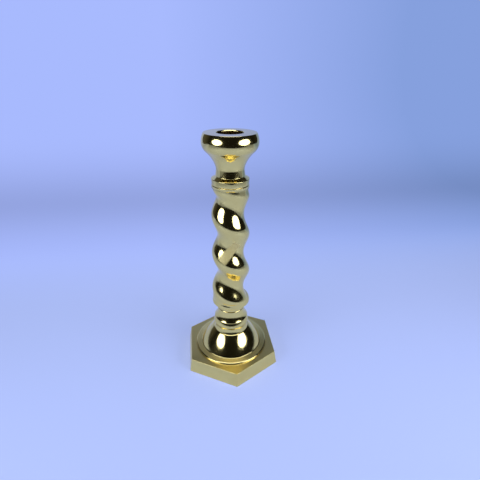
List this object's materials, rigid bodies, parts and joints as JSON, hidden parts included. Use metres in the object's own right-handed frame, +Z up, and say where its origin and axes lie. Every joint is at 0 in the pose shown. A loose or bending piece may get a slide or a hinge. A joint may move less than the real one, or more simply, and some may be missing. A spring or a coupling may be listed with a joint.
{
  "type": "spiral candle holder",
  "caption": "Tall brass candle holder: hexagonal domed foot, turned knop, left-hand spiral column and a rimmed cup bored for a dinner candle.",
  "frame": {"origin": "middle of the foot's underside, on the table", "axes": "+Z up the column, -Y towards the corner of the foot that points at the viewer, +X to the viewer's right"},
  "size_m": [0.0888, 0.1024, 0.2286],
  "materials": {
    "foot_brass": "cast, ground flat and polished",
    "turned_brass": "turned and polished",
    "column_brass": "cast and polished",
    "zinc_steel": "zinc plated"
  },
  "bodies": {
    "root": {"hex_foot": "foot_brass", "foot_collar": "turned_brass", "knop": "turned_brass", "twist_column": "column_brass", "candle_cup": "turned_brass", "tie_rod": "zinc_steel", "plain_washer": "zinc_steel", "spring_washer": "zinc_steel", "rod_nut": "zinc_steel"}
  },
  "joints": []
}
